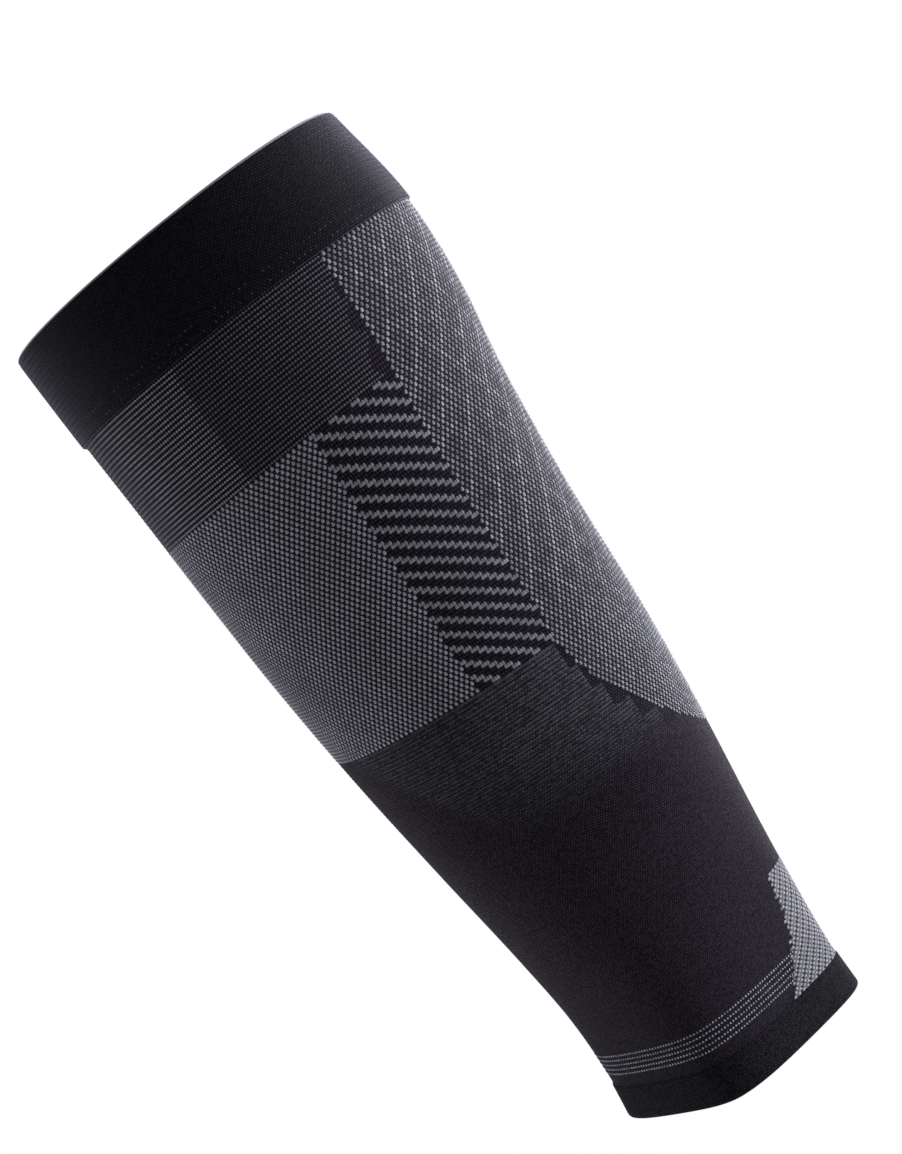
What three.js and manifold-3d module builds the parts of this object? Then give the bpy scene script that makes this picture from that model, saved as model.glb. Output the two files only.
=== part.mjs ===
// A calf compression sleeve: one knitted tube that grips the lower leg, from just above the ankle to just
// below the knee. It keeps the round form that the leg gives it. The knit changes from zone to zone, and
// each zone is a panel of its own: a folded cuff, a ribbed band, a speckled shin panel, two side panels with
// slanting ribs, a latticed calf panel, the plain lower leg, a heel panel and a folded hem.
//
// Millimetres. +Z runs up the leg, -Y is the shin and +Y the calf. The origin is on the leg's axis, level
// with the lower opening. "Around" is the angle from the shin's centre line, in degrees: 90 is the side of
// the leg and 180 the calf's centre line.

import * as THREE from "three";
import { mergeVertices } from "three/addons/utils/BufferGeometryUtils.js";
import Module from "manifold-3d";

// Overall sizes
const sleeveLength = 320;
const calfDepth = 130; // shin to calf, where the leg is widest
const calfWidth = 112; // side to side, at the same height
const ankleDepth = 84; // shin to heel cord, where the leg is narrowest
const ankleWidth = 73;

// Walls
const bodyWall = 1.4; // one layer of knit
const cuffStep = 1; // how far the folded cuff stands out from the body
const hemStep = 0.5;
const panelGap = 0.3; // between neighbouring pieces

// Heights of the zones, from the top down
const cuffHeight = 35;
const bandHeight = 41;
const shinHeight = 92;
const hemHeight = 12.5;

// Where the panels meet, around the leg
const shinEdge = 90; // shin panel to side panel
const calfEdge = 118.5; // side panel to calf panel

// The calf panel's rounded tip, below the shin panel
const calfTipDrop = 52;
const calfTipRoundness = 0.58; // 1 would be a plain quarter sine, and less is fuller

// The heel panel, which flares towards the hem
const heelPanelHeight = 36;
const heelHalfAngle = 27.5;
const heelFlareAngle = 17.5;
const heelFlareCurve = 2.2;

// Slanting ribs of the side panels
const ribPitch = 5.45; // up the leg, from rib to rib
const ribFall = 20; // how far a rib drops on its way from the shin panel to the calf panel
const ribProud = 0.5;

// How finely the curves are cut into flat faces
const facetsAround = 52;
const facetHeight = 17;

// The leg's form, from the lower opening to the top. height is a share of sleeveLength. swell goes from the
// ankle's size at 0 to the calf's at 1. shin is the share of the depth that lies in front of the axis. rise
// is how far a row of stitches climbs towards the calf, per unit of half the depth. corner turns the round
// section into one with soft corners at the shin, sides and heel.
const legForm = [
  { height: 0.0, swell: 0.04, shin: 0.4, rise: -0.045, corner: 0.09 },
  { height: 0.05, swell: 0.0, shin: 0.395, rise: -0.035, corner: 0.08 },
  { height: 0.12, swell: 0.03, shin: 0.395, rise: -0.028, corner: 0.06 },
  { height: 0.2, swell: 0.14, shin: 0.41, rise: -0.022, corner: 0.03 },
  { height: 0.32, swell: 0.35, shin: 0.434, rise: -0.015, corner: 0.0 },
  { height: 0.45, swell: 0.54, shin: 0.458, rise: -0.01, corner: 0.0 },
  { height: 0.58, swell: 0.66, shin: 0.478, rise: 0.035, corner: 0.0 },
  { height: 0.7, swell: 0.78, shin: 0.482, rise: 0.09, corner: 0.0 },
  { height: 0.8, swell: 0.91, shin: 0.478, rise: 0.1, corner: 0.0 },
  { height: 0.9, swell: 0.96, shin: 0.491, rise: 0.085, corner: 0.0 },
  { height: 1.0, swell: 0.87, shin: 0.525, rise: 0.1, corner: 0.0 },
];

// The folded edges, between the outer wall and the inner wall. out is a share of the fold's thickness,
// measured from its inner face, and over is a share of the fold's rounding.
const foldForm = [
  { out: 0.9, over: 0.65 },
  { out: 0.5, over: 1.0 },
  { out: 0.1, over: 0.65 },
];
const foldRounding = 1.2;

// One rib and the groove below it. along is a share of ribPitch, and out is a share of ribProud.
const ribForm = [
  { along: 0.0, out: 0 },
  { along: 0.4, out: 0 },
  { along: 0.7, out: 1 },
];

const cuffBottom = sleeveLength - cuffHeight;
const bandBottom = cuffBottom - bandHeight;
const shinBottom = bandBottom - shinHeight;
const heelBottom = hemHeight + panelGap;
const heelTop = heelBottom + heelPanelHeight;
const cutPast = 3; // how far a cutter reaches past the wall
const cutWall = { inner: -bodyWall - cutPast, outer: cutPast };
const halfTurn = 180;
const fullTurn = 360;

const wasm = await Module();
wasm.setup();

// One column of legForm at a height, on a smooth curve through its rows.
function formAt(column, height) {
  const share = THREE.MathUtils.clamp(height / sleeveLength, 0, 1);
  let row = 0;
  while (row < legForm.length - 2 && legForm[row + 1].height < share) row++;
  const slopeAt = (i) => {
    const below = legForm[Math.max(i - 1, 0)];
    const above = legForm[Math.min(i + 1, legForm.length - 1)];
    return (above[column] - below[column]) / (above.height - below.height);
  };
  const start = legForm[row];
  const end = legForm[row + 1];
  const span = end.height - start.height;
  const t = (share - start.height) / span;
  const blend = t * t * (3 - 2 * t);
  const startPull = t * (1 - t) * (1 - t) * span * slopeAt(row);
  const endPull = t * t * (t - 1) * span * slopeAt(row + 1);
  return start[column] * (1 - blend) + end[column] * blend + startPull + endPull;
}

// A point of the sleeve. out is the distance outside the body's outer face, and is negative inside it.
function legPoint(around, height, out) {
  const angle = THREE.MathUtils.degToRad(around);
  const swell = formAt("swell", height);
  const depth = THREE.MathUtils.lerp(ankleDepth, calfDepth, swell);
  const width = THREE.MathUtils.lerp(ankleWidth, calfWidth, swell);
  const corner = formAt("corner", height);
  const sideways = (Math.sin(angle) - corner * Math.sin(3 * angle)) / (1 + corner);
  const backwards = -(Math.cos(angle) + corner * Math.cos(3 * angle)) / (1 + corner);
  const shinShare = formAt("shin", height);
  const reach = depth * (backwards < 0 ? shinShare : 1 - shinShare) + out;
  return new THREE.Vector3(
    (width / 2 + out) * sideways,
    reach * backwards,
    height + (formAt("rise", height) * backwards * depth) / 2,
  );
}

// Moves every vertex of a closed geometry, and merges those that meet.
function bend(geometry, place) {
  const position = geometry.getAttribute("position");
  const vertex = new THREE.Vector3();
  for (let i = 0; i < position.count; i++) {
    vertex.fromBufferAttribute(position, i);
    position.setXYZ(i, ...place(vertex).toArray());
  }
  geometry.deleteAttribute("normal");
  geometry.deleteAttribute("uv");
  return mergeVertices(geometry, 1e-4);
}

// A panel of wall: a unit box bent onto the leg. across and up run from 0 to 1 over the panel, aroundAt and
// heightAt say where that is, and the wall lies between the distances inner and outer.
function wallPanel({ aroundAt, heightAt, columns, rows, inner = -bodyWall, outer = 0 }) {
  const box = new THREE.BoxGeometry(1, 1, 1, columns, rows, 1);
  return bend(box, (v) => {
    const across = v.x + 0.5;
    const up = v.y + 0.5;
    const out = THREE.MathUtils.lerp(inner, outer, v.z + 0.5);
    return legPoint(aroundAt(across, up), heightAt(across, up), out);
  });
}

// A band all round the leg, turned from a closed profile of (out, height) points.
function wallRing(profile) {
  const axisClearance = 100; // keeps the turned profile off its axis before it is bent onto the leg
  const closed = [...profile, profile[0]];
  const points = closed.map(([out, height]) => new THREE.Vector2(axisClearance + out, height));
  return bend(new THREE.LatheGeometry(points, facetsAround), (v) => {
    const around = THREE.MathUtils.radToDeg(Math.atan2(v.x, v.z));
    return legPoint(around, v.y, Math.hypot(v.x, v.z) - axisClearance);
  });
}

// Heights from one to another, no more than facetHeight apart.
function heightSteps(from, to) {
  const count = Math.ceil(Math.abs(to - from) / facetHeight);
  return Array.from({ length: count + 1 }, (_, i) => THREE.MathUtils.lerp(from, to, i / count));
}

// An angle at a share of the way from one to another.
function sweep(from, to) {
  return (share) => THREE.MathUtils.lerp(from, to, share);
}

// The number of columns that keeps a panel's faces as wide as those of the rings.
function columnsFor(degrees) {
  return Math.max(2, Math.ceil((degrees / fullTurn) * facetsAround));
}

// The angle that a distance takes up on the leg's side, at a height.
function angleOf(distance, height) {
  const width = THREE.MathUtils.lerp(ankleWidth, calfWidth, formAt("swell", height));
  return THREE.MathUtils.radToDeg(distance / (width / 2));
}

// A wall folded over at one end: up its outer face, round the fold and back down its inner face.
function foldedProfile({ from, to, inner, outer }) {
  const towards = Math.sign(to - from);
  const foldStart = to - towards * foldRounding;
  const outerFace = heightSteps(from, foldStart).map((height) => [outer, height]);
  const innerFace = heightSteps(foldStart, from).map((height) => [inner, height]);
  const fold = foldForm.map(({ out, over }) => [
    THREE.MathUtils.lerp(inner, outer, out),
    foldStart + towards * over * foldRounding,
  ]);
  const profile = [...outerFace, ...fold, ...innerFace];
  return towards > 0 ? profile : profile.reverse();
}

function cuff() {
  return wallRing(
    foldedProfile({ from: cuffBottom + panelGap, to: sleeveLength, inner: -bodyWall, outer: cuffStep }),
  );
}

function hem() {
  return wallRing(foldedProfile({ from: hemHeight, to: 0, inner: -bodyWall, outer: hemStep }));
}

function frontBand() {
  const edge = calfEdge - angleOf(panelGap / 2, bandBottom);
  return wallPanel({
    aroundAt: sweep(-edge, edge),
    heightAt: (across, up) => THREE.MathUtils.lerp(bandBottom + panelGap, cuffBottom, up),
    columns: columnsFor(2 * edge),
    rows: Math.ceil(bandHeight / facetHeight),
  });
}

function shinPanel() {
  const edge = shinEdge - angleOf(panelGap / 2, shinBottom);
  return wallPanel({
    aroundAt: sweep(-edge, edge),
    heightAt: (across, up) => THREE.MathUtils.lerp(shinBottom + panelGap, bandBottom, up),
    columns: columnsFor(2 * edge),
    rows: Math.ceil(shinHeight / facetHeight),
  });
}

// The calf panel, or the cut for it, between an angle and the same angle on the other side. Columns crowd
// towards its two edges, where its lower border falls steeply: a quarter sine wave, made fuller.
function calfTip({ edge, lift, top, wall }) {
  return wallPanel({
    aroundAt: (across) => halfTurn - (halfTurn - edge) * Math.cos(Math.PI * across),
    heightAt: (across, up) => {
      const wave = Math.cos((Math.PI / 2) * Math.abs(Math.cos(Math.PI * across)));
      const drop = calfTipDrop * Math.pow(Math.max(wave, 0), calfTipRoundness);
      return THREE.MathUtils.lerp(shinBottom - drop + lift, top, up);
    },
    columns: columnsFor(2 * (halfTurn - calfEdge)),
    rows: Math.ceil((top - shinBottom + calfTipDrop) / facetHeight),
    ...wall,
  });
}

function calfPanel() {
  const edge = calfEdge + angleOf(panelGap / 2, shinBottom);
  return calfTip({ edge, lift: panelGap, top: cuffBottom });
}

// The heel panel, or the cut for it: even at the top, and flaring towards the hem. rowsBelow carries the
// cut on below the panel's lower edge.
function heelFlare({ gap, rowsBelow, wall }) {
  const rows = Math.ceil(heelPanelHeight / (facetHeight / 2));
  const shareOf = (up) => THREE.MathUtils.lerp(-rowsBelow / rows, 1, up);
  const gapAngle = angleOf(gap, heelBottom);
  return wallPanel({
    aroundAt: (across, up) => {
      const flare = heelFlareAngle * Math.pow(1 - shareOf(up), heelFlareCurve);
      return halfTurn + (2 * across - 1) * (heelHalfAngle + flare - gapAngle);
    },
    heightAt: (across, up) => THREE.MathUtils.lerp(heelBottom, heelTop - gap, shareOf(up)),
    columns: columnsFor(2 * (heelHalfAngle + heelFlareAngle)),
    rows: rows + rowsBelow,
    ...wall,
  });
}

function heelPanel() {
  return heelFlare({ gap: panelGap, rowsBelow: 0 });
}

function solidOf(geometry) {
  return new wasm.Manifold(
    new wasm.Mesh({
      numProp: 3,
      vertProperties: new Float32Array(geometry.getAttribute("position").array),
      triVerts: new Uint32Array(geometry.index.array),
    }),
  );
}

function geometryOf(solid) {
  const mesh = solid.getMesh();
  const geometry = new THREE.BufferGeometry();
  geometry.setAttribute("position", new THREE.BufferAttribute(mesh.vertProperties, 3));
  geometry.setIndex(new THREE.BufferAttribute(mesh.triVerts, 1));
  return geometry;
}

// The plain tube between hem and shin panel, with the calf panel's tip and the heel panel cut out of it.
function lowerLeg() {
  const outerFace = heightSteps(hemHeight + panelGap, shinBottom).map((height) => [0, height]);
  const innerFace = heightSteps(shinBottom, hemHeight + panelGap).map((height) => [-bodyWall, height]);
  const tube = solidOf(wallRing([...outerFace, ...innerFace]));
  const edge = calfEdge - angleOf(panelGap / 2, shinBottom);
  const tip = calfTip({ edge, lift: 0, top: shinBottom + cutPast, wall: cutWall });
  const heel = heelFlare({ gap: 0, rowsBelow: 1, wall: cutWall });
  return geometryOf(tube.subtract(solidOf(tip)).subtract(solidOf(heel)));
}

// A ribbed wall that is wider and taller than a side panel. Its rows of faces follow the slant of the ribs.
function ribbedWall(side) {
  const ribs = Math.ceil((shinHeight + ribFall) / ribPitch);
  const rows = ribs * ribForm.length;
  const box = new THREE.BoxGeometry(1, 1, 1, columnsFor(calfEdge - shinEdge), rows, 1);
  const pastEdge = angleOf(ribPitch, shinBottom);
  return bend(box, (v) => {
    const across = side > 0 ? v.x + 0.5 : 0.5 - v.x;
    const row = Math.round((v.y + 0.5) * rows);
    const { along, out } = ribForm[row % ribForm.length];
    const foot = shinBottom - ribFall + (Math.floor(row / ribForm.length) + along) * ribPitch;
    const around = side * THREE.MathUtils.lerp(shinEdge - pastEdge, calfEdge + pastEdge, across);
    return legPoint(around, foot + ribFall * (1 - across), v.z > 0 ? out * ribProud : -bodyWall);
  });
}

// side is 1 for the panel on +X and -1 for the one on -X.
function sidePanel(side) {
  const gapAngle = angleOf(panelGap / 2, shinBottom);
  const edges = [side * (shinEdge + gapAngle), side * (calfEdge - gapAngle)].sort((a, b) => a - b);
  const frame = wallPanel({
    aroundAt: sweep(edges[0], edges[1]),
    heightAt: (across, up) => THREE.MathUtils.lerp(shinBottom + panelGap, bandBottom, up),
    columns: columnsFor(calfEdge - shinEdge),
    rows: Math.ceil(shinHeight / facetHeight),
    ...cutWall,
  });
  return geometryOf(solidOf(ribbedWall(side)).intersect(solidOf(frame)));
}

const blackKnit = new THREE.MeshStandardMaterial({ color: 0x1b191d, roughness: 0.85, metalness: 0 });
const ribbedKnit = new THREE.MeshStandardMaterial({ color: 0x36343a, roughness: 0.85, metalness: 0 });
const speckledKnit = new THREE.MeshStandardMaterial({ color: 0x55545b, roughness: 0.88, metalness: 0 });
const slantedKnit = new THREE.MeshStandardMaterial({ color: 0x38363d, roughness: 0.88, metalness: 0 });
const latticeKnit = new THREE.MeshStandardMaterial({ color: 0x6c6b73, roughness: 0.88, metalness: 0 });
const paleKnit = new THREE.MeshStandardMaterial({ color: 0x88878f, roughness: 0.88, metalness: 0 });

const sleeve = new THREE.Group();

function addPiece(name, geometry, material) {
  const mesh = new THREE.Mesh(geometry, material);
  mesh.name = name;
  sleeve.add(mesh);
}

addPiece("calf_cuff", cuff(), blackKnit);
addPiece("front_band", frontBand(), ribbedKnit);
addPiece("shin_panel", shinPanel(), speckledKnit);
addPiece("side_panel_left", sidePanel(-1), slantedKnit);
addPiece("side_panel_right", sidePanel(1), slantedKnit);
addPiece("calf_panel", calfPanel(), latticeKnit);
addPiece("lower_leg", lowerLeg(), blackKnit);
addPiece("heel_panel", heelPanel(), paleKnit);
addPiece("ankle_hem", hem(), blackKnit);

export default sleeve;
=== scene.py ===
import math

import bpy
import numpy as np
from mathutils import Matrix, Vector


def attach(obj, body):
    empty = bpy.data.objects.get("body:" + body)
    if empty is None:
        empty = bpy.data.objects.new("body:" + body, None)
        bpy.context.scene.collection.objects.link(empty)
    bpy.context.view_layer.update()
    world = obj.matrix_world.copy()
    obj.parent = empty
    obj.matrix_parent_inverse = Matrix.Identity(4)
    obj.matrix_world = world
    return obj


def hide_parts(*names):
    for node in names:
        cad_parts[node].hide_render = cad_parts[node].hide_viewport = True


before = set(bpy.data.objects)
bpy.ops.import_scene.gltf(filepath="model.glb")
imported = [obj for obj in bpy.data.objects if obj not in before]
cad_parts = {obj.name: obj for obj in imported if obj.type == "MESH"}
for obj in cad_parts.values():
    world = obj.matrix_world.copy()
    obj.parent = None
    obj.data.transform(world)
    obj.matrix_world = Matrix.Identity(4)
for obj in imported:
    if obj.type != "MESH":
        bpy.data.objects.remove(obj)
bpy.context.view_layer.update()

# A calf compression sleeve, knitted in one tube with zones of black and grey yarn. The panels here are grids
# of stitches on the leg's form: a wale is a column of stitches up the leg, a course is a row round it.
# Lengths are millimetres up to the meshes, which are in metres. "Around" is the angle from the shin's centre
# line in degrees, 90 at the side on +X and 180 at the calf. "Turn" is the share of the girth walked from
# the shin's centre line, the same way round.

MM = 0.001

# Sizes shared with the solids
SLEEVE_LENGTH = 320.0
CALF_DEPTH, CALF_WIDTH = 130.0, 112.0
ANKLE_DEPTH, ANKLE_WIDTH = 84.0, 73.0
BODY_WALL = 1.4
CUFF_STEP, HEM_STEP = 1.0, 0.5
HEM_TOP = 12.5
SHIN_BOTTOM, BAND_BOTTOM, CUFF_BOTTOM = 152.0, 244.0, 285.0
SHIN_EDGE, CALF_EDGE = 90.0, 118.5
CALF_TIP_DROP, CALF_TIP_ROUNDNESS = 52.0, 0.58
HEEL_TOP, HEEL_HALF_ANGLE, HEEL_FLARE_ANGLE, HEEL_FLARE_CURVE = 48.8, 27.5, 17.5, 2.2

# The leg's form: share of the length, swell from ankle to calf, share of the depth that lies in front of the
# axis, rise of a course towards the calf, and how far the round section turns into one with soft corners
LEG_FORM = np.array([
    (0.00, 0.04, 0.400, -0.045, 0.09),
    (0.05, 0.00, 0.395, -0.035, 0.08),
    (0.12, 0.03, 0.395, -0.028, 0.06),
    (0.20, 0.14, 0.410, -0.022, 0.03),
    (0.32, 0.35, 0.434, -0.015, 0.00),
    (0.45, 0.54, 0.458, -0.010, 0.00),
    (0.58, 0.66, 0.478, 0.035, 0.00),
    (0.70, 0.78, 0.482, 0.090, 0.00),
    (0.80, 0.91, 0.478, 0.100, 0.00),
    (0.90, 0.96, 0.491, 0.085, 0.00),
    (1.00, 0.87, 0.525, 0.100, 0.00),
])
SWELL, SHIN_SHARE, RISE, CORNER = 1, 2, 3, 4

# Stitches: wales round the leg, and courses in each stretch up the leg
UPPER_WALES, LOWER_WALES, HEM_WALES = 344, 200, 400
TIP_COURSES, SHIN_COURSES, BAND_COURSES, CUFF_COURSES = 44, 68, 28, 40
HEM_COURSES = 20
TIP_BOTTOM = SHIN_BOTTOM - CALF_TIP_DROP

# How far a stitch stands out of the cloth, and the share of it that is left where four stitches meet
GROUND_LIFT, SPECK_LIFT, RIB_LIFT, LINE_LIFT = 0.05, 0.24, 0.42, 0.16
LATTICE_LIFT, STEEP_LINE_LIFT = 0.32, 0.38
HEEL_LIFT, HEEL_BRIDGE_LIFT = 0.26, 0.182
MEETING_SHARE = 0.8

# The share of a stitch's lift that is left between it and the next one, along the course and up the wale.
# Ribs run on both ways and ruled lines along the course alone, and the other stitches stand apart.
RIB_SHARES, LINE_SHARES, SPECK_SHARES = (0.8, 0.5), (0.9, 0.1), (0.3, 0.3)
DOT_SHARES, BEAD_SHARES = (0.3, 0.1), (0.35, 0.35)


# The leg's form

def form_at(column, height):
    """A column of LEG_FORM on a smooth curve: a cubic between rows, with each row's slope taken from the rows
    on both sides of it."""
    shares, values = LEG_FORM[:, 0], LEG_FORM[:, column]
    last = len(shares) - 1
    below, above = np.maximum(np.arange(last + 1) - 1, 0), np.minimum(np.arange(last + 1) + 1, last)
    slopes = (values[above] - values[below]) / (shares[above] - shares[below])
    share = np.clip(np.asarray(height, float) / SLEEVE_LENGTH, 0, 1)
    row = np.clip(np.searchsorted(shares, share) - 1, 0, last - 1)
    span = shares[row + 1] - shares[row]
    t = (share - shares[row]) / span
    blend = t * t * (3 - 2 * t)
    start_pull = t * (1 - t) ** 2 * span * slopes[row]
    end_pull = t * t * (t - 1) * span * slopes[row + 1]
    return values[row] * (1 - blend) + values[row + 1] * blend + start_pull + end_pull


def leg_point(around, height, out):
    """Points of the sleeve: a section with a half width and two half depths, turned by the sine and cosine of
    around, with a third harmonic for its soft corners, tilted along the courses."""
    angle = np.radians(around)
    swell, corner = form_at(SWELL, height), form_at(CORNER, height)
    depth = ANKLE_DEPTH + (CALF_DEPTH - ANKLE_DEPTH) * swell
    width = ANKLE_WIDTH + (CALF_WIDTH - ANKLE_WIDTH) * swell
    sideways = (np.sin(angle) - corner * np.sin(3 * angle)) / (1 + corner)
    backwards = -(np.cos(angle) + corner * np.cos(3 * angle)) / (1 + corner)
    shin_share = form_at(SHIN_SHARE, height)
    reach = depth * np.where(backwards < 0, shin_share, 1 - shin_share) + out
    rise = form_at(RISE, height) * backwards * depth / 2
    return np.stack(np.broadcast_arrays((width / 2 + out) * sideways, reach * backwards, height + rise), -1)


def girth_table(heights, steps=720):
    """For each height, the angle at every equal step of the girth: lengths along the section are added up,
    divided by the girth and read backwards."""
    angles = np.linspace(0, 360, steps + 1)
    section = leg_point(angles[None, :], heights[:, None], 0.0)[..., :2]
    pieces = np.linalg.norm(np.diff(section, axis=1), axis=2)
    walked = np.concatenate([np.zeros((len(heights), 1)), np.cumsum(pieces, axis=1)], axis=1)
    walked /= walked[:, -1:]
    turns = np.linspace(0, 1, steps + 1)
    return np.stack([np.interp(turns, row, angles) for row in walked])


# The table reaches past both ends, with a row every 3 mm
TABLE_MARGIN, TABLE_ROWS = 5, 111
TABLE_HEIGHTS = np.linspace(-TABLE_MARGIN, SLEEVE_LENGTH + TABLE_MARGIN, TABLE_ROWS)
TABLE = girth_table(TABLE_HEIGHTS)


def girths(heights):
    """The length once round the leg at each height, walked in two degree steps."""
    section = leg_point(np.arange(0, 361, 2)[None, :], np.asarray(heights)[:, None], 0.0)[..., :2]
    return np.linalg.norm(np.diff(section, axis=1), axis=2).sum(axis=1)


def around_at(turn, height):
    """The angle at a turn and a height: the table of equal steps of girth, blended between its four nearest
    entries."""
    steps = TABLE.shape[1] - 1
    across = np.mod(turn, 1.0) * steps
    rows = np.interp(height, TABLE_HEIGHTS, np.arange(len(TABLE_HEIGHTS)))
    across, up = np.broadcast_arrays(across, np.clip(rows, 0, len(TABLE_HEIGHTS) - 1.001))
    col, row = np.minimum(across.astype(int), steps - 1), up.astype(int)
    s, t = across - col, up - row
    low = TABLE[row, col] * (1 - s) + TABLE[row, col + 1] * s
    high = TABLE[row + 1, col] * (1 - s) + TABLE[row + 1, col + 1] * s
    return low * (1 - t) + high * t


def from_shin(around):
    """The angle from the shin's centre line on either side, 0 to 180."""
    return 180 - np.abs(np.mod(around, 360) - 180)


# Meshes from grids of stitches

def mesh_piece(name, points, corners, counts, uv, yarn, smooth_faces, material):
    """A mesh from arrays: points in millimetres, the faces' corners one after another and how many each face
    has, a UV pair for every corner in units of stitches, and for every face how much grey yarn shows. The
    first smooth_faces faces are smooth and the rest flat, with hard edges round them."""
    mesh = bpy.data.meshes.new(name)
    mesh.vertices.add(len(points))
    mesh.vertices.foreach_set("co", (points * MM).astype(np.float32).ravel())
    mesh.loops.add(len(corners))
    mesh.loops.foreach_set("vertex_index", corners.astype(np.int32))
    mesh.polygons.add(len(counts))
    mesh.polygons.foreach_set("loop_start", (np.cumsum(counts) - counts).astype(np.int32))
    mesh.polygons.foreach_set("use_smooth", np.arange(len(counts)) < smooth_faces)
    mesh.update(calc_edges=True)
    edges = np.zeros(len(corners), np.int32)
    mesh.loops.foreach_get("edge_index", edges)
    hard = np.zeros(len(mesh.edges), bool)
    hard[edges[np.repeat(np.arange(len(counts)) >= smooth_faces, counts)]] = True
    mesh.attributes.new("sharp_edge", "BOOLEAN", "EDGE").data.foreach_set("value", hard)
    mesh.uv_layers.new(name="stitches").data.foreach_set("uv", uv.astype(np.float32).ravel())
    mesh.attributes.new("yarn", "FLOAT", "FACE").data.foreach_set("value", yarn.astype(np.float32))
    mesh.validate()
    mesh.materials.append(material)
    piece = bpy.data.objects.new(name, mesh)
    bpy.context.collection.objects.link(piece)
    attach(piece, "root")
    return piece


def stitch_lifts(lift, side_share, row_share):
    """Heights of the fine grid, two steps to a stitch each way: a stitch's middle has its whole lift, and
    what lies between two stitches has a share of the lower one's."""
    rows, wales = lift.shape
    fine = np.zeros((2 * rows + 1, 2 * wales))
    left, below = np.roll(lift, 1, axis=1), lift[:-1]
    fine[1::2, 1::2] = lift
    fine[1::2, 0::2] = np.minimum(lift, left) * np.minimum(side_share, np.roll(side_share, 1, axis=1))
    between = np.minimum(lift[1:], below) * np.minimum(row_share[1:], row_share[:-1])
    fine[2:-1:2, 1::2] = between
    fine[2:-1:2, 0::2] = np.minimum(between, np.roll(between, 1, axis=1)) * MEETING_SHARE
    return fine


def knit_panel(name, row_heights, cells, fine, yarn, material, pattern_wales=None):
    """A panel of cloth from the stitches marked in cells, one column for each wale all round the leg. Each
    stitch is four faces outside, on the lifts in fine, and one inside, a wall's thickness behind them. A
    five-cornered face closes each side of a stitch that has no neighbour in the panel. The UV map counts
    the cells, or pattern_wales to a round."""
    rows, wales = cells.shape
    fine_heights = np.interp(np.arange(2 * rows + 1) / 2, np.arange(rows + 1), row_heights)[:, None]
    fine_turns = (np.arange(2 * wales) / (2 * wales))[None, :]
    outer = leg_point(around_at(fine_turns, fine_heights), fine_heights, fine)
    heights, turns = row_heights[:, None], (np.arange(wales) / wales)[None, :]
    inner = leg_point(around_at(turns, heights), heights, -BODY_WALL)
    points = np.concatenate([outer.reshape(-1, 3), inner.reshape(-1, 3)])
    first_inner = outer.shape[0] * outer.shape[1]

    def at_outer(row, wale):
        return row * 2 * wales + np.mod(wale, 2 * wales)

    def at_inner(row, wale):
        return first_inner + row * wales + np.mod(wale, wales)

    row, wale = np.nonzero(cells)
    faces, places, marks = [], [], []
    quarter = [(0, 0), (1, 0), (1, 1), (0, 1)]
    for up in (0, 1):
        for across in (0, 1):
            steps = [(2 * wale + across + s, 2 * row + up + t) for s, t in quarter]
            faces.append(np.stack([at_outer(v, u) for u, v in steps], -1))
            places.append(np.stack([np.stack([u / 2, v / 2], -1) for u, v in steps], 1))
            marks.append(yarn[row, wale])
    back = [(wale, row), (wale, row + 1), (wale + 1, row + 1), (wale + 1, row)]
    faces.append(np.stack([at_inner(v, u) for u, v in back], -1))
    places.append(np.stack([np.stack([u, v], -1).astype(float) for u, v in back], 1))
    marks.append(np.zeros(len(row)))

    padded = np.zeros((rows + 2, wales), bool)
    padded[1:-1] = cells
    open_sides = {
        "low": cells & ~padded[:-2],
        "high": cells & ~padded[2:],
        "left": cells & ~np.roll(cells, 1, axis=1),
        "right": cells & ~np.roll(cells, -1, axis=1),
    }
    walls = {
        "low": [(2, 0), (1, 0), (0, 0)],
        "high": [(0, 2), (1, 2), (2, 2)],
        "left": [(0, 0), (0, 1), (0, 2)],
        "right": [(2, 2), (2, 1), (2, 0)],
    }
    wall_faces, wall_places = [], []
    for side, steps in walls.items():
        r, w = np.nonzero(open_sides[side])
        (first_u, first_v), (last_u, last_v) = steps[0], steps[-1]
        ring = [at_outer(2 * r + v, 2 * w + u) for u, v in steps]
        ring += [at_inner(r + last_v // 2, w + last_u // 2), at_inner(r + first_v // 2, w + first_u // 2)]
        wall_faces.append(np.stack(ring, -1))
        wall_places.append(np.repeat(np.stack([w + 0.0, r + 0.0], -1)[:, None, :], 5, axis=1))
    quads, walls5 = np.concatenate(faces), np.concatenate(wall_faces)
    corners = np.concatenate([quads.ravel(), walls5.ravel()])
    counts = np.concatenate([np.full(len(quads), 4), np.full(len(walls5), 5)])
    uv = np.concatenate([np.concatenate(places).reshape(-1, 2), np.concatenate(wall_places).reshape(-1, 2)])
    uv[:, 0] *= (pattern_wales or wales) / wales
    face_yarn = np.concatenate([np.concatenate(marks), np.zeros(len(walls5))])
    used, corners = np.unique(corners, return_inverse=True)
    piece = mesh_piece(name, points[used], corners, counts, uv, face_yarn, len(quads), material)

    widths = girths(row_heights[:-1]) / wales * np.count_nonzero(cells, axis=1)
    return piece


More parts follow.
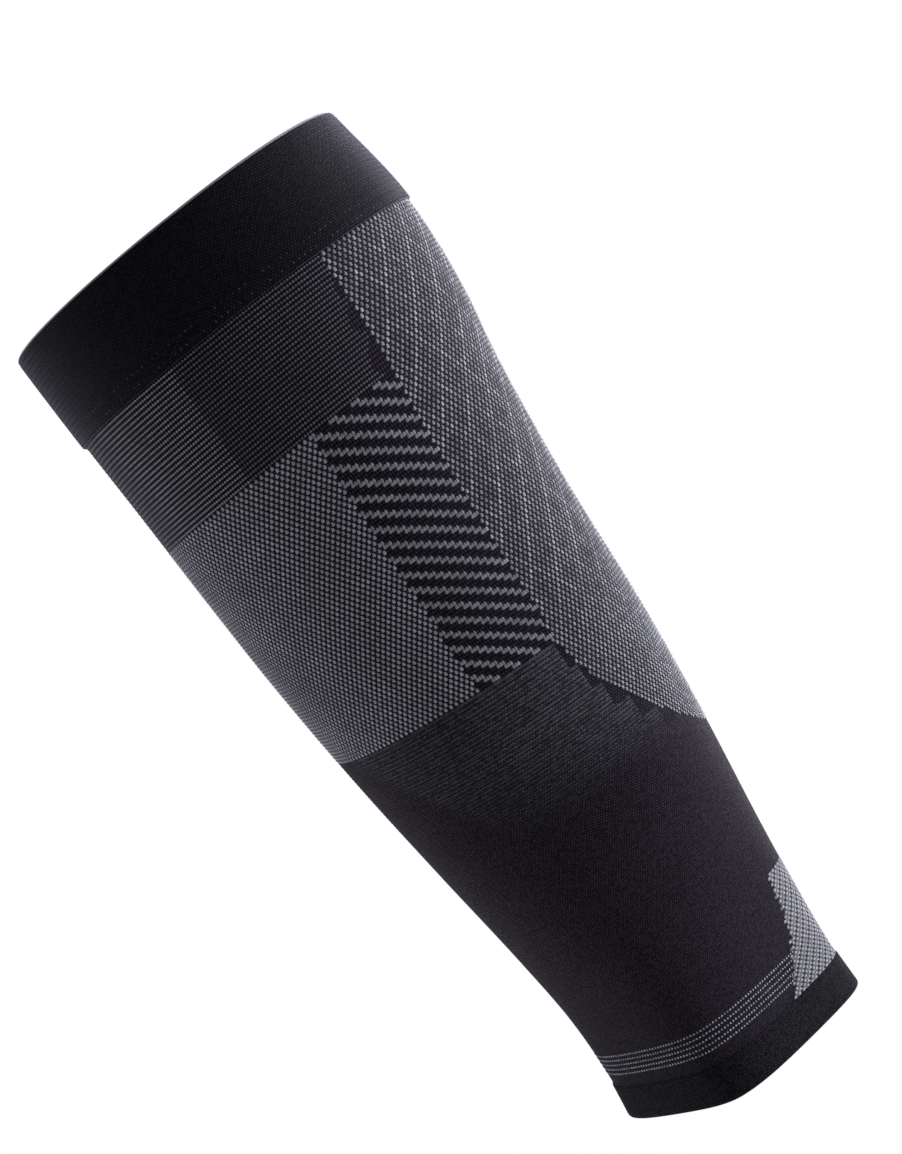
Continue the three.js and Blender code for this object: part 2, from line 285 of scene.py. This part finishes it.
def knit_ring(name, wales, course, profile, lift, yarn, fine_steps, material, plain_steps):
    """A closed band all round the leg: a ring of quads for every step of a closed profile of (out, height)
    points, turned through all the wales. The UV map counts wales, and courses of the given height along the
    profile. lift and yarn have a row for each step, and on the plain steps the yarn covers the whole face."""
    columns = wales * fine_steps
    out, height = profile[:, :1], profile[:, 1:]
    turns = (np.arange(columns) / columns)[None, :]
    points = leg_point(around_at(turns, height), height, out + lift).reshape(-1, 3)
    steps = len(profile)
    row, col = (a.ravel() for a in np.meshgrid(np.arange(steps), np.arange(columns), indexing="ij"))
    ring = [(row, col), (row, col + 1), (row + 1, col + 1), (row + 1, col)]
    quads = np.stack([np.mod(r, steps) * columns + np.mod(c, columns) for r, c in ring], -1)
    walked = np.linalg.norm(np.diff(profile, axis=0, append=profile[:1]), axis=1)
    courses = np.concatenate([[0], np.cumsum(walked)]) / course
    uv = np.stack([np.stack([c / fine_steps, courses[r]], -1) for r, c in ring], 1)
    uv[plain_steps[row]] = 0.5
    piece = mesh_piece(name, points, quads.ravel(), np.full(len(quads), 4), uv.reshape(-1, 2),
                       yarn[row, col // fine_steps], len(quads), material)
    middle = (profile[:, 1].max() + profile[:, 1].min()) / 2
    girth, length = girths([middle])[0], np.ptp(profile[:, 1])
    return piece


# Materials

def linear(hex_colour):
    """An sRGB hex colour as linear red, green, blue and alpha."""
    values = np.array([int(hex_colour[i:i + 2], 16) for i in (1, 3, 5)]) / 255
    values = np.where(values <= 0.04045, values / 12.92, ((values + 0.055) / 1.055) ** 2.4)
    return (*values, 1.0)


def add(tree, kind, inputs=(), out=0, **settings):
    """Adds a node with its settings, sets or links each input, given as its name or number with a value or
    another node's output, and returns one of the node's outputs. A node whose first inputs are all given
    takes them in order from enumerate."""
    node = tree.nodes.new("ShaderNode" + kind)
    for key, value in settings.items():
        setattr(node, key, value)
    for key, value in dict(inputs).items():
        if isinstance(value, bpy.types.NodeSocket):
            tree.links.new(value, node.inputs[key])
        else:
            node.inputs[key].default_value = value
    return node.outputs[out] if node.outputs else None


def empty_tree(name):
    """A new material with an empty node tree."""
    material = bpy.data.materials.new(name)
    material.use_nodes = True
    material.node_tree.nodes.clear()
    return material, material.node_tree


# A stitch in the shader, in shares of its width and height: how far its two legs lean, the half width and
# half height of the lump, which is raised in the bump and painted lighter in its middle as a painted
# highlight, and the notch between the legs of a grey loop. The soft edges go from nothing to all, measured in
# squares of the lump's or the loop's half size.
LEG_LEAN = 0.3
LUMP_HALF_WIDTH, LUMP_HALF_HEIGHT, LUMP_EDGE = 0.4, 0.36, (1.5, 0.2)
LOOP_EDGE = (1.5, 0.35)
NOTCH_HALF_WIDTH, NOTCH_LIGHT = 0.15, 0.82

# Amounts of grey yarn. Between the first two, a material's first break gives way to its second. Between the
# others a loop swells, until its edge is measured at this share of its distance.
BREAK_AMOUNTS = (0.3, 0.4)
SWELL_AMOUNTS, SWOLLEN_REACH = (0.6, 1.2), 0.62

# Noise over the cloth, for each metre of it: clouds 2 cm wide, and fuzz of about 1 mm on the black stitches,
# which is coarser than the real fibres, too fine to show
CLOUD_SCALE, CLOUD_LIGHT = 55.0, (0.85, 1.12)
FUZZ_SCALE, FUZZ_LIGHT = 1100.0, (0.45, 1.5)
NOISE_RANGE = (0.3, 0.7)

# The shine: roughness over the clouds, and in metres the height of a grey loop in the bump, of which a black
# stitch has a share
ROUGHNESS = (0.76, 0.94)
STITCH_HEIGHT, LUMP_SHARE = 0.0002, 0.45


def stitch_place(tree, u, v):
    """Nodes for a place in a stitch: its distance to either side of the middle, and its height over the
    middle, which follows the two leaning legs."""
    across = add(tree, "Math", {0: u}, operation="FRACT")
    across = add(tree, "Math", {0: across, 1: 0.5}, operation="SUBTRACT")
    side = add(tree, "Math", {0: across}, operation="ABSOLUTE")
    up = add(tree, "Math", {0: v}, operation="FRACT")
    up = add(tree, "Math", {0: up, 1: 0.5}, operation="SUBTRACT")
    return side, add(tree, "Math", {0: side, 1: LEG_LEAN, 2: up}, operation="MULTIPLY_ADD")


def square_share(tree, value, size):
    """Nodes for the square of a value divided by a size."""
    share = add(tree, "Math", {0: value, 1: size}, operation="DIVIDE")
    return add(tree, "Math", {0: share, 1: share}, operation="MULTIPLY")


def knit_material(name, black, painted_glint, yarn_colour, oval, sheen, unevenness=(0.78, 1.15), breaks=(1.0, 1.0),
                  fineness=1.0, stagger=0.0):
    """Knitted nylon and elastane: black stitches, each painted lighter in its middle, a painted highlight for
    the light that the stitch catches, and grey yarn on the stitches that the yarn attribute marks. The UV map
    counts stitches, about 1.1 mm wide and 1.0 to 1.5 mm high, so the pattern is the real stitch's size. oval
    is the share of a stitch that a grey loop fills each way, unevenness the least and most light that a
    stitch takes, and breaks how clearly the loops stand apart along the course, where there is little yarn
    and where there is much. Both ways there are fineness black stitches for every grey one, and each course's
    are shifted by stagger from those below."""
    material, tree = empty_tree(name)
    u = add(tree, "SeparateXYZ", {0: add(tree, "UVMap", uv_map="stitches")})
    v = u.node.outputs[1]
    amount = add(tree, "Attribute", out=2, attribute_name="yarn")

    # The grid of black stitches
    fine_v = add(tree, "Math", {0: v, 1: fineness}, operation="MULTIPLY")
    course = add(tree, "Math", {0: fine_v}, operation="FLOOR")
    shift = add(tree, "Math", {0: course, 1: stagger}, operation="MULTIPLY")
    fine_u = add(tree, "Math", {0: u, 1: fineness, 2: shift}, operation="MULTIPLY_ADD")
    wale = add(tree, "Math", {0: fine_u}, operation="FLOOR")

    # Every stitch takes the light a little differently, and so do broad patches of the cloth
    cell = add(tree, "CombineXYZ", {0: wale, 1: course})
    chance = add(tree, "TexWhiteNoise", {0: cell}, noise_dimensions="2D")
    place = add(tree, "TexCoord", out=3)
    patches = add(tree, "TexNoise", {"Vector": place, "Scale": CLOUD_SCALE, "Detail": 4.0})
    fibres = add(tree, "TexNoise", {"Vector": place, "Scale": FUZZ_SCALE, "Detail": 3.0})
    uneven = add(tree, "MapRange", enumerate((chance, 0.0, 1.0, *unevenness)))
    cloudy = add(tree, "MapRange", enumerate((patches, *NOISE_RANGE, *CLOUD_LIGHT)))
    fuzzy = add(tree, "MapRange", enumerate((fibres, *NOISE_RANGE, *FUZZ_LIGHT)))

    # The grey loop
    side, lean = stitch_place(tree, u, v)
    wide, high = square_share(tree, side, oval[0] / 2), square_share(tree, lean, oval[1] / 2)
    apart = add(tree, "MapRange", enumerate((amount, *BREAK_AMOUNTS, *breaks)))
    reach = add(tree, "Math", {0: wide, 1: apart, 2: high}, operation="MULTIPLY_ADD")
    swelling = add(tree, "MapRange", enumerate((amount, *SWELL_AMOUNTS, 1.0, SWOLLEN_REACH)))
    reach = add(tree, "Math", {0: reach, 1: swelling}, operation="MULTIPLY")
    grey = add(tree, "MapRange", enumerate((reach, *LOOP_EDGE)), interpolation_type="SMOOTHSTEP")
    notch = add(tree, "MapRange", enumerate((side, 0.0, NOTCH_HALF_WIDTH, NOTCH_LIGHT, 1.0)))
    for factor in (notch, amount, uneven):
        grey = add(tree, "Math", {0: grey, 1: factor}, operation="MULTIPLY")
    grey = add(tree, "Math", {0: grey, 1: cloudy}, operation="MULTIPLY", use_clamp=True)

    # The black stitch under it, its middle painted lighter as a painted highlight
    side, lean = stitch_place(tree, fine_u, fine_v)
    wide, high = square_share(tree, side, LUMP_HALF_WIDTH), square_share(tree, lean, LUMP_HALF_HEIGHT)
    middle = add(tree, "Math", {0: wide, 1: high}, operation="ADD")
    lump = add(tree, "MapRange", enumerate((middle, *LUMP_EDGE)), interpolation_type="SMOOTHSTEP")
    painted_glint_share = add(tree, "Math", {0: lump, 1: uneven}, operation="MULTIPLY")
    painted_glint_share = add(tree, "Math", {0: painted_glint_share, 1: fuzzy}, operation="MULTIPLY", use_clamp=True)
    ground = add(tree, "Mix", {0: painted_glint_share, 6: linear(black), 7: linear(painted_glint)}, out=2, data_type="RGBA")
    colour = add(tree, "Mix", {0: grey, 6: ground, 7: linear(yarn_colour)}, out=2, data_type="RGBA")

    height = add(tree, "Math", {0: lump, 1: LUMP_SHARE, 2: grey}, operation="MULTIPLY_ADD")
    bump = add(tree, "Bump", {"Strength": 0.8, "Distance": STITCH_HEIGHT, "Height": height})
    rough = add(tree, "MapRange", enumerate((patches, 0.0, 1.0, *ROUGHNESS)))
    shader = add(tree, "BsdfPrincipled", {
        "Base Color": colour, "Roughness": rough, "Normal": bump, "IOR": 1.5, "Specular IOR Level": 0.07,
        "Sheen Weight": sheen, "Sheen Roughness": 0.28, "Sheen Tint": linear("#cbc1e4"),
    })
    add(tree, "OutputMaterial", {0: shader})
    return material


# The black yarn, deeper where the cloth is double, the painted glints on it, lighter colours that stand for
# the light caught in the middle of each black stitch, and the two grey yarns
BLACK, DEEP_BLACK = "#0a070d", "#06050a"
PAINTED_GLINT, STRONG_PAINTED_GLINT, FAINT_PAINTED_GLINT = "#2b2731", "#332e3a", "#211d27"
GREY_YARN, PALE_YARN = "#a2a3af", "#b8b9c5"

# Plain jersey of black nylon and elastane. It looks nearly black and matt, with a fine staggered grain of
# painted violet-grey glints, a painted highlight on each small stitch. Grey yarn shows in it as faint ruled
# lines, and as rows of dots over the hem.
plain_knit = knit_material("plain_black_knit", BLACK, STRONG_PAINTED_GLINT, GREY_YARN, (0.8, 0.7), 0.1,
                           unevenness=(0.45, 1.4), breaks=(0.25, 2.8), fineness=1.5, stagger=0.5)

# Double jersey folded over at the cuff. It is the deepest black, with a soft violet sheen where it turns away
# and a loose grain of painted glints, drawn coarser than the real one, which is too fine to show.
cuff_knit = knit_material("folded_cuff_knit", DEEP_BLACK, FAINT_PAINTED_GLINT, GREY_YARN, (0.6, 1.0), 0.6,
                          unevenness=(0.3, 1.6), stagger=0.5)

# Double jersey folded at the ankle, on smaller stitches. It looks like felt: no sheen, and a patchy grain of
# painted glints in which some stitches are lost, drawn coarser than the real one too.
hem_knit = knit_material("folded_hem_knit", DEEP_BLACK, PAINTED_GLINT, GREY_YARN, (0.6, 1.0), 0.03,
                         unevenness=(0.0, 1.4), stagger=0.5)

# Rib knit with a grey yarn in every course. It looks like ruled lines on black, nicked at each wale, and
# lights up where it turns away.
band_knit = knit_material("grey_level_rib_knit", BLACK, STRONG_PAINTED_GLINT, GREY_YARN, (0.8, 0.45), 0.4,
                          breaks=(1.2, 1.1))

# Bird's-eye knit, grey on every other stitch. It looks like a dense field of round grey specks on black.
speckled_knit = knit_material("grey_speckled_knit", BLACK, PAINTED_GLINT, GREY_YARN, (1.05, 1.05), 0.4)

# Knit with ribs of grey stitches that climb sideways. They look like toothed grey lines on a black ground.
slanted_knit = knit_material("grey_slanted_rib_knit", BLACK, PAINTED_GLINT, GREY_YARN, (1.1, 1.1), 0.1)

# Bird's-eye knit whose grey stitches are fuller along two crossing sets of lines. It looks like specks of
# uneven brightness with a pale lattice over them.
lattice_knit = knit_material("grey_lattice_knit", BLACK, PAINTED_GLINT, GREY_YARN, (1.0, 1.05), 0.08,
                             unevenness=(0.62, 1.28))

# Dense knit of the paler yarn. It looks like fat beads that nearly hide the black between them.
pale_knit = knit_material("pale_lattice_knit", BLACK, PAINTED_GLINT, PALE_YARN, (1.3, 1.15), 0.05,
                          unevenness=(0.85, 1.12))


# The camera and the light

CAMERA_AIM, CAMERA_DISTANCE = Vector((0.0, 0.012, 0.1822)), 0.7066
CAMERA_ELEVATION, CAMERA_ROLL = math.radians(4.15), math.radians(32.92)
FOCAL_PIXELS, FRAME_HEIGHT = 2200, 1154


def place_camera():
    """The camera stands on +X, a little above level, and is rolled so that the sleeve slants in the frame."""
    right, up = Vector((0, 1, 0)), Vector((-math.sin(CAMERA_ELEVATION), 0, math.cos(CAMERA_ELEVATION)))
    back = Vector((math.cos(CAMERA_ELEVATION), 0, math.sin(CAMERA_ELEVATION)))
    rolled_right = right * math.cos(CAMERA_ROLL) - up * math.sin(CAMERA_ROLL)
    rolled_up = right * math.sin(CAMERA_ROLL) + up * math.cos(CAMERA_ROLL)
    turn = Matrix((rolled_right, rolled_up, back)).transposed().to_4x4()
    data = bpy.data.cameras.new("camera")
    data.sensor_width = 36.0
    data.lens = FOCAL_PIXELS * data.sensor_width / FRAME_HEIGHT
    data.clip_start = 0.01
    camera = bpy.data.objects.new("camera", data)
    camera.matrix_world = Matrix.Translation(CAMERA_AIM + back * CAMERA_DISTANCE) @ turn
    bpy.context.collection.objects.link(camera)
    bpy.context.scene.camera = camera


def soft_box(name, place, size, power):
    """A square area light that faces the middle of the sleeve."""
    data = bpy.data.lights.new(name, "AREA")
    data.shape, data.size, data.energy = "SQUARE", size, power
    light = bpy.data.objects.new(name, data)
    aim = CAMERA_AIM - Vector(place)
    light.matrix_world = Matrix.Translation(Vector(place)) @ aim.to_track_quat("-Z", "Y").to_matrix().to_4x4()
    bpy.context.collection.objects.link(light)


def studio():
    """A white room: the camera sees plain white, and the cloth gets a dimmer, even light from it. Soft boxes
    on both sides stand a little behind the sleeve, so that its edges are brighter than its middle."""
    world = bpy.data.worlds.new("studio")
    bpy.context.scene.world = world
    world.use_nodes = True
    tree = world.node_tree
    tree.nodes.clear()
    seen = add(tree, "Background", {"Color": (1, 1, 1, 1), "Strength": 1.0})
    lit = add(tree, "Background", {"Color": (1, 1, 1, 1), "Strength": 0.03})
    path = add(tree, "LightPath")
    add(tree, "OutputWorld", {0: add(tree, "MixShader", {0: path, 1: lit, 2: seen})})
    soft_box("calf_side_box", (-0.06, 1.15, 0.4), 1.0, 26)
    soft_box("calf_rim_box", (-0.74, 0.88, 0.4), 0.85, 19)
    soft_box("shin_side_box", (0.55, -1.0, 0.4), 0.85, 3.5)
    soft_box("shin_rim_box", (-0.5, -1.04, 0.4), 0.85, 8)
    soft_box("overhead_box", (-0.2, 0.1, 1.5), 0.85, 4)

    mesh = bpy.data.meshes.new("floor")
    reach, level = 6.0, -0.3
    signs = ((-1, -1), (1, -1), (1, 1), (-1, 1))
    mesh.from_pydata([(x * reach, y * reach, level) for x, y in signs], [], [(0, 1, 2, 3)])
    floor = bpy.data.objects.new("floor", mesh)
    bpy.context.collection.objects.link(floor)
    paper, tree = empty_tree("white_paper")
    white = add(tree, "Emission", {"Color": (1, 1, 1, 1), "Strength": 1.0})
    matt = add(tree, "BsdfDiffuse", {"Color": (0.9, 0.9, 0.9, 1)})
    add(tree, "OutputMaterial", {0: add(tree, "MixShader", {0: add(tree, "LightPath"), 1: matt, 2: white})})
    mesh.materials.append(paper)
    bpy.context.scene.view_settings.view_transform = "Standard"


place_camera()
studio()


# The upper stretch, from the calf panel's tip to the cuff

def closing_rows(low, high, courses, low_share):
    """Heights of the rows of a stretch whose courses grow evenly, from low_share of the mean to as much
    above it."""
    pitch = np.linspace(low_share, 2 - low_share, courses)
    return low + (high - low) * np.concatenate([[0], np.cumsum(pitch)]) / courses


upper_rows = np.concatenate([
    closing_rows(TIP_BOTTOM, SHIN_BOTTOM, TIP_COURSES, low_share=0.84)[:-1],
    np.linspace(SHIN_BOTTOM, BAND_BOTTOM, SHIN_COURSES + 1)[:-1],
    np.linspace(BAND_BOTTOM, CUFF_BOTTOM, BAND_COURSES + 1),
])
upper_shape = (len(upper_rows) - 1, UPPER_WALES)
course, wale = np.indices(upper_shape)
centre_height = ((upper_rows[1:] + upper_rows[:-1]) / 2)[:, None] * np.ones(upper_shape)
centre_around = from_shin(around_at((wale + 0.5) / UPPER_WALES, centre_height))
mirrored = np.minimum(wale, UPPER_WALES - wale)

behind = np.clip((180 - centre_around) / (180 - CALF_EDGE), 0, 1)
tip_line = SHIN_BOTTOM - CALF_TIP_DROP * np.cos(math.pi / 2 * behind) ** CALF_TIP_ROUNDNESS
in_calf = (centre_around > CALF_EDGE) & (centre_height > tip_line)
in_band = (centre_height > BAND_BOTTOM) & ~in_calf
in_middle = (centre_height > SHIN_BOTTOM) & (centre_height < BAND_BOTTOM) & ~in_calf
in_shin = in_middle & (centre_around < SHIN_EDGE)
in_side = in_middle & ~in_shin
in_lower = (centre_height < SHIN_BOTTOM) & ~in_calf

# The patterns: every other stitch, the slanting ribs, and the distance from each of the lattice's two sets of
# lines, all in stitches
RIB_PITCH, RIB_WIDTH, LATTICE_PITCH = 8, 3, 12
checked = (mirrored + course) % 2 == 0
slanted = (mirrored + 2 * course) % RIB_PITCH < RIB_WIDTH
steep, shallow = (mirrored - course) % LATTICE_PITCH, (mirrored + course) % LATTICE_PITCH
in_gap = (np.abs(steep - LATTICE_PITCH / 2) < 2) & (np.abs(shallow - LATTICE_PITCH / 2) < 2)

# Bare stitches between the ruled lines and the calf panel. In the band they are counted for each course, from
# the top. Below the side panels each block of courses ends its lines one stitch short of where the calf panel
# starts in its top course.
BAND_MARGIN = np.array([0, 0, 0, 0, 0, 1, 1, 2, 2, 2, 0, 1, 2, 3, 3, 4, 4, 3, 1, 1, 2, 3, 4, 4, 5, 5, 4, 3])
LOWER_BLOCK = 7
calf_start = np.where(in_calf.any(axis=1), np.argmax(in_calf, axis=1), UPPER_WALES // 2)
courses_down = np.arange(TIP_COURSES)[::-1]
block_tops = TIP_COURSES - 1 - courses_down // LOWER_BLOCK * LOWER_BLOCK
line_end = np.concatenate([
    calf_start[block_tops] - 1,
    calf_start[TIP_COURSES:-BAND_COURSES],
    calf_start[-BAND_COURSES:] - BAND_MARGIN[::-1],
])
bare = np.minimum(wale, UPPER_WALES - 1 - wale) >= line_end[:, None]


def fade_in(value, start, width):
    """Nothing up to start, then rising evenly to 1 over the width."""
    return np.clip((value - start) / width, 0, 1)


# Where the grey fades in. The ruled lines start beside the shin's centre line, further off down the shank,
# where they also fade with height. The lattice fades in over the calf panel's tip.
LINES_FROM, BAND_LINES_REACH, SHANK_LINES_REACH = 24.0, 14.0, 8.0
SHANK_DIM, SHANK_DIM_FROM, SHANK_DIM_REACH = 0.5, 30.0, 80.0
SHANK_FADE_FROM, SHANK_FADE_REACH = 104.0, 26.0
LATTICE_FADE_FROM, LATTICE_FADE_REACH = 142.0, 25.0
BRIGHT_BAND_EDGE = 67.6
BORDER_WALES = 2
shank_start = LINES_FROM + np.clip(SHIN_BOTTOM - centre_height, 0, None)
shank_lines = fade_in(centre_around, shank_start, SHANK_LINES_REACH)
shank_lines *= np.maximum(fade_in(centre_around, SHANK_DIM_FROM, SHANK_DIM_REACH), SHANK_DIM)
lines_fade = fade_in(centre_height, SHANK_FADE_FROM, SHANK_FADE_REACH)
band_lines = fade_in(centre_around, LINES_FROM, BAND_LINES_REACH)
lattice_share = fade_in(centre_height, LATTICE_FADE_FROM, LATTICE_FADE_REACH)
inside_border = np.roll(in_calf, BORDER_WALES, axis=1) & np.roll(in_calf, -BORDER_WALES, axis=1)
border = in_calf & ~inside_border

# How much grey a stitch shows: in the speckles and the ribs, in the lattice's gaps, fields and two sets of
# lines, in the calf panel's tip and border, and in the ruled lines of the shin, the side and the shank
SPECK_YARN, RIB_YARN = 0.74, 0.55
GAP_YARN, FIELD_YARN, SHALLOW_LINE_YARN, STEEP_LINE_YARN = 0.39, 0.48, 0.66, 0.78
TIP_YARN, BORDER_YARN = 0.66, 0.72
FRONT_LINE_YARN, FRONT_LINE_GAIN, SIDE_LINE_YARN, SHANK_LINE_YARN = 0.32, 0.26, 0.24, 0.13

latticed = np.full(upper_shape, FIELD_YARN)
latticed[in_gap] = GAP_YARN
latticed[shallow == 0] = SHALLOW_LINE_YARN
latticed[steep == 0] = STEEP_LINE_YARN
calf_yarn = np.where(border, BORDER_YARN, TIP_YARN + (latticed - TIP_YARN) * lattice_share)
front_yarn = FRONT_LINE_YARN + FRONT_LINE_GAIN * band_lines
band_yarn = np.where(centre_around < BRIGHT_BAND_EDGE, front_yarn, SIDE_LINE_YARN)

yarn = np.zeros(upper_shape)
yarn[in_shin & checked] = SPECK_YARN
yarn[in_side & slanted] = RIB_YARN
yarn[in_calf & checked] = calf_yarn[in_calf & checked]
yarn[in_band] = band_yarn[in_band]
yarn[in_lower] = (SHANK_LINE_YARN * lines_fade * shank_lines)[in_lower]
yarn[(in_band | in_lower) & bare] = 0.0

lift = np.full(upper_shape, GROUND_LIFT)
lift[in_shin & checked] = SPECK_LIFT
lift[in_side & slanted] = RIB_LIFT
lift[in_calf & checked] = LATTICE_LIFT
lift[in_calf & checked & (steep == 0)] = STEEP_LINE_LIFT
lift[in_band & ~bare] = LINE_LIFT
lift[in_lower] = (LINE_LIFT * lines_fade * ~bare)[in_lower]

side_share, row_share = (
    np.where(in_side, rib, np.where(in_band | in_lower, line, speck))
    for rib, line, speck in zip(RIB_SHARES, LINE_SHARES, SPECK_SHARES)
)
fine = stitch_lifts(lift, side_share, row_share)

near_half = wale < UPPER_WALES // 2
UPPER_PANELS = [
    ("front_band", in_band, band_knit, "ribbed_knit"),
    ("shin_panel", in_shin, speckled_knit, "speckled_knit"),
    ("side_panel_right", in_side & near_half, slanted_knit, "slanted_knit"),
    ("side_panel_left", in_side & ~near_half, slanted_knit, "slanted_knit"),
    ("calf_panel", in_calf, lattice_knit, "lattice_knit"),
]
for node, cells, material, slot in UPPER_PANELS:
    panel = knit_panel(node + "_knit", upper_rows, cells, fine, yarn, material)
    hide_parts(node)

# The black tube beside the tip belongs to lower_leg, whose own piece below replaces it
shank = knit_panel("lower_leg_upper_knit", upper_rows, in_lower, fine, yarn, plain_knit, LOWER_WALES)


# The lower stretch, from the hem to the calf panel's tip

# Courses over the hem, then the dotted rows with a plain course between each two, then the plain shank
FOOT_COURSES, STRIPE_COURSES, SHANK_COURSES = 5, 9, 74
STRIPES_BOTTOM, STRIPES_TOP = 17.06, 24.94
lower_rows = np.concatenate([
    np.linspace(HEM_TOP, STRIPES_BOTTOM, FOOT_COURSES + 1)[:-1],
    np.linspace(STRIPES_BOTTOM, STRIPES_TOP, STRIPE_COURSES + 1)[:-1],
    np.linspace(STRIPES_TOP, TIP_BOTTOM, SHANK_COURSES + 1),
])
lower_shape = (len(lower_rows) - 1, LOWER_WALES)
course, wale = np.indices(lower_shape)
centre_height = ((lower_rows[1:] + lower_rows[:-1]) / 2)[:, None] * np.ones(lower_shape)
centre_around = from_shin(around_at((wale + 0.5) / LOWER_WALES, centre_height))

# The heel panel's edge has a tooth at every other course, which reaches a little over the solid's edge
TOOTH_ANGLE = 0.6
up_heel = fade_in(centre_height, HEM_TOP, HEEL_TOP - HEM_TOP)
heel_angle = HEEL_HALF_ANGLE + HEEL_FLARE_ANGLE * (1 - up_heel) ** HEEL_FLARE_CURVE
wide_heel = (180 - centre_around < heel_angle + TOOTH_ANGLE) & (centre_height < HEEL_TOP)
toothed = np.roll(wide_heel, 1, axis=1) & np.roll(wide_heel, -1, axis=1)
in_heel = np.where(course % 2 == 0, wide_heel, wide_heel & toothed)

DOT_YARN = 0.92
in_stripes = (centre_height > STRIPES_BOTTOM) & (centre_height < STRIPES_TOP)
dotted = in_stripes & ((course - FOOT_COURSES) % 2 == 0)
lower_yarn = np.where(dotted & ~in_heel, DOT_YARN, 0.0)
lower_lift = np.where(dotted, LINE_LIFT, 0.0)
lower_fine = stitch_lifts(lower_lift, *(np.full(lower_shape, share) for share in DOT_SHARES))
lower = knit_panel("lower_leg_knit", lower_rows, ~in_heel, lower_fine, lower_yarn, plain_knit)
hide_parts("lower_leg")

# The heel's beads, the bridges that join them along every second slanting row, and what lies between
BEAD_YARN, BRIDGE_YARN, BETWEEN_YARN = 0.55, 0.22, 0.04
mirrored = np.minimum(wale, LOWER_WALES - wale)
beads = (mirrored + course) % 2 == 0
bridges = (mirrored - course) % 4 == 3
heel_yarn = np.where(beads, BEAD_YARN, np.where(bridges, BRIDGE_YARN, BETWEEN_YARN))
heel_lift = np.where(beads, HEEL_LIFT, np.where(bridges, HEEL_BRIDGE_LIFT, GROUND_LIFT))
heel_fine = stitch_lifts(heel_lift, *(np.full(lower_shape, share) for share in BEAD_SHARES))
heel = knit_panel("heel_panel_knit", lower_rows, in_heel, heel_fine, heel_yarn, pale_knit)
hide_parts("heel_panel")


# The folded edges

# The height of a fold, and the height and depth over which its foot is rolled in, where the double cloth
# ends on the body. Then the steps of the profile over the fold and down the inner face.
FOLD_HEIGHT = 1.2
FOOT_ROLL_HEIGHT, FOOT_ROLL_DEPTH = 0.8, 0.35
FOLD_STEPS, INNER_STEPS = 7, 10


def folded_profile(foot, top, outer, courses):
    """A wall folded over at one end, as a closed profile: up its outer face, with a rounded foot, over the
    fold on half an ellipse, and down its inner face."""
    inner, towards = -BODY_WALL, math.copysign(1, top - foot)
    fold_start = top - towards * FOLD_HEIGHT
    rows = np.linspace(foot, fold_start, 2 * courses + 1)
    foot_roll = np.clip(np.abs(rows - foot) / FOOT_ROLL_HEIGHT, 0, 1)
    rolled_in = FOOT_ROLL_DEPTH * (1 - np.sqrt(1 - (1 - foot_roll) ** 2))
    outer_face = np.stack([outer - rolled_in, rows], -1)
    angle = np.linspace(0, math.pi, FOLD_STEPS + 2)[1:-1]
    middle, radius = (outer + inner) / 2, (outer - inner) / 2
    fold = [middle + radius * np.cos(angle), fold_start + towards * FOLD_HEIGHT * np.sin(angle)]
    inner_face = np.stack([np.full(INNER_STEPS, inner), np.linspace(fold_start, foot, INNER_STEPS)], -1)
    profile = np.concatenate([outer_face, np.stack(fold, -1), inner_face])
    return profile if towards > 0 else profile[::-1]


# The cuff is pebbled: every other stitch stands out, and the rest a little. Two courses near its foot show
# faint grey ticks on every other wale. Along the outer shoulder of the fold the grey yarn colour is painted
# on as a painted highlight, for the light caught on the fold's top edge.
PEBBLE_LIFT, LOW_PEBBLE_LIFT = 0.16, 0.04
TICK_YARN, PAINTED_RIM_HIGHLIGHT = {2: 0.07, 6: 0.06}, 0.55
cuff_profile = folded_profile(CUFF_BOTTOM, SLEEVE_LENGTH, CUFF_STEP, CUFF_COURSES)
step, column = np.indices((len(cuff_profile), 2 * UPPER_WALES))
pebbles = (step < 2 * CUFF_COURSES - 1) & (step % 2 == 1) & (column % 2 == 1)
pebble_lift = np.where((step // 2 + column // 2) % 2 == 0, PEBBLE_LIFT, LOW_PEBBLE_LIFT)
cuff_lift = np.where(pebbles, pebble_lift, 0.0)
step, wale = np.indices((len(cuff_profile), UPPER_WALES))
cuff_ticks_and_painted_rim = np.zeros(step.shape)
for tick_course, amount in TICK_YARN.items():
    cuff_ticks_and_painted_rim[(step // 2 == tick_course) & (wale % 2 == 0)] = amount
fold_step = step - (2 * CUFF_COURSES + 1)
# Painted highlight: the grey yarn colour on the fold's outer shoulder stands for the light caught on its top
# edge
painted_rim_mask = (fold_step == 0) | (fold_step == 1)
cuff_ticks_and_painted_rim[painted_rim_mask] = PAINTED_RIM_HIGHLIGHT
cuff_course = (SLEEVE_LENGTH - CUFF_BOTTOM - FOLD_HEIGHT) / CUFF_COURSES
cuff = knit_ring("calf_cuff_knit", UPPER_WALES, cuff_course, cuff_profile, cuff_lift, cuff_ticks_and_painted_rim,
                 fine_steps=2, material=cuff_knit, plain_steps=painted_rim_mask[:, 0])
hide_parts("calf_cuff")

hem_profile = folded_profile(HEM_TOP, 0.0, HEM_STEP, HEM_COURSES)
plain = np.zeros((len(hem_profile), HEM_WALES))
hem = knit_ring("ankle_hem_knit", HEM_WALES, HEM_TOP / HEM_COURSES, hem_profile, plain, plain,
                fine_steps=1, material=hem_knit, plain_steps=plain[:, 0] > 0)
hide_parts("ankle_hem")
